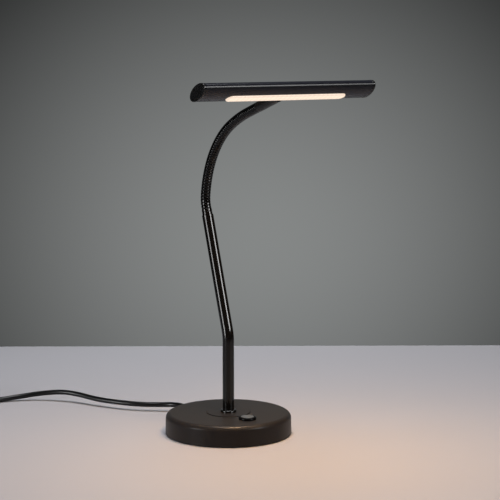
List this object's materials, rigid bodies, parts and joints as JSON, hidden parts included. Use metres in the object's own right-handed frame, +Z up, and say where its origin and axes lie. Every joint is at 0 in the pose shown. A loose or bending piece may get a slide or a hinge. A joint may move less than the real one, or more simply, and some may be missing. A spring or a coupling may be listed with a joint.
{
  "type": "piano lamp",
  "caption": "Table lamp with a round weighted base, a bent stem, a bendable gooseneck, a flat oval light bar with an opal strip and a push button on the base.",
  "frame": {"origin": "centre of the foot pad's underside, on the surface that the lamp stands on", "axes": "+X along the light bar, -Y to the front where the button is, +Z up"},
  "size_m": [0.355, 0.5576, 0.378],
  "materials": {
    "black_powder_coat": "satin, fine texture",
    "black_gloss_lacquer": "gloss",
    "neck_coating": "satin",
    "zinc_steel": "zinc plated",
    "cast_weight": "as cast, blacked",
    "pad_rubber": "matt",
    "cap_plastic": "satin, moulded",
    "button_grey": "satin",
    "inner_plastic": "matt",
    "circuit_board": "solder mask",
    "white_board": "white solder mask",
    "led_phosphor": "matt",
    "heat_spreader": "mill finish",
    "opal": "opal, lit from inside",
    "cord_sheath": "satin",
    "lead_sheath": "satin",
    "pin_metal": "nickel plated"
  },
  "bodies": {
    "stand": {"base_cover": "black_powder_coat", "foot_pad": "pad_rubber", "bottom_plate": "zinc_steel", "bottom_screws": "zinc_steel", "ballast_disc": "cast_weight", "stem_plate": "black_powder_coat", "stem_nipple": "zinc_steel", "lock_washer": "zinc_steel", "stem_nut": "zinc_steel", "button_bezel": "cap_plastic", "bezel_nut": "cap_plastic", "button_spring": "zinc_steel", "switch_housing": "inner_plastic", "dimmer_board": "circuit_board", "push_switch": "inner_plastic", "driver_case": "inner_plastic", "driver_board": "circuit_board", "strain_relief": "cord_sheath", "inner_cord": "cord_sheath", "cord_clamp": "zinc_steel", "clamp_screws": "zinc_steel", "switch_lead": "lead_sheath", "stem_tube": "black_gloss_lacquer", "stem_collar": "black_gloss_lacquer", "stem_lead": "lead_sheath", "neck_ferrule": "black_gloss_lacquer", "neck_root": "neck_coating", "mains_cord": "cord_sheath", "cord_coil": "cord_sheath", "cord_tail": "cord_sheath", "plug_body": "cord_sheath", "plug_pins": "pin_metal"},
    "button": {"button_cap": "button_grey"},
    "link_1": {"neck_link_1": "neck_coating", "neck_lead_1": "lead_sheath"},
    "link_2": {"neck_link_2": "neck_coating", "neck_lead_2": "lead_sheath"},
    "link_3": {"neck_link_3": "neck_coating", "neck_lead_3": "lead_sheath"},
    "link_4": {"neck_link_4": "neck_coating", "neck_lead_4": "lead_sheath"},
    "link_5": {"neck_link_5": "neck_coating", "neck_lead_5": "lead_sheath"},
    "link_6": {"neck_link_6": "neck_coating", "neck_lead_6": "lead_sheath"},
    "link_7": {"neck_link_7": "neck_coating", "neck_lead_7": "lead_sheath"},
    "head": {"neck_tip": "neck_coating", "head_sleeve": "black_powder_coat", "neck_block": "zinc_steel", "head_lead": "lead_sheath", "head_housing": "black_powder_coat", "cap_left": "cap_plastic", "cap_right": "cap_plastic", "led_carrier": "heat_spreader", "led_board": "white_board", "led_chips": "led_phosphor", "diffuser": "opal"}
  },
  "joints": [
    {"name": "neck_pitch_1", "type": "hinge", "parent": "stand", "child": "link_1", "pos_m": [0, 0.0471, 0.2501], "axis": [1, 0, 0], "range_deg": [-35, 15]},
    {"name": "neck_side_2", "type": "hinge", "parent": "link_1", "child": "link_2", "pos_m": [0, 0.04286, 0.27088], "axis": [0, 0.9534, 0.3017], "range_deg": [-30, 30]},
    {"name": "neck_pitch_3", "type": "hinge", "parent": "link_2", "child": "link_3", "pos_m": [0, 0.0344, 0.29033], "axis": [1, 0, 0], "range_deg": [-35, 15]},
    {"name": "neck_pitch_4", "type": "hinge", "parent": "link_3", "child": "link_4", "pos_m": [0, 0.0221, 0.30761], "axis": [1, 0, 0], "range_deg": [-35, 15]},
    {"name": "neck_side_5", "type": "hinge", "parent": "link_4", "child": "link_5", "pos_m": [0, 0.0065, 0.32199], "axis": [0, 0.5976, 0.8018], "range_deg": [-30, 30]},
    {"name": "neck_pitch_6", "type": "hinge", "parent": "link_5", "child": "link_6", "pos_m": [0, -0.01168, 0.33292], "axis": [1, 0, 0], "range_deg": [-35, 15]},
    {"name": "neck_side_7", "type": "hinge", "parent": "link_6", "child": "link_7", "pos_m": [0, -0.03117, 0.34137], "axis": [0, 0.3465, 0.9381], "range_deg": [-30, 30]},
    {"name": "neck_pitch_8", "type": "hinge", "parent": "link_7", "child": "head", "pos_m": [0, -0.05134, 0.34803], "axis": [1, 0, 0], "range_deg": [-35, 15]},
    {"name": "button_press", "type": "slide", "parent": "stand", "child": "button", "axis": [0, 0, -1], "range_m": [0, 0.001], "stiffness_N_per_m": 800, "springref_m": -0.0006, "deforming": ["button_spring"]}
  ]
}
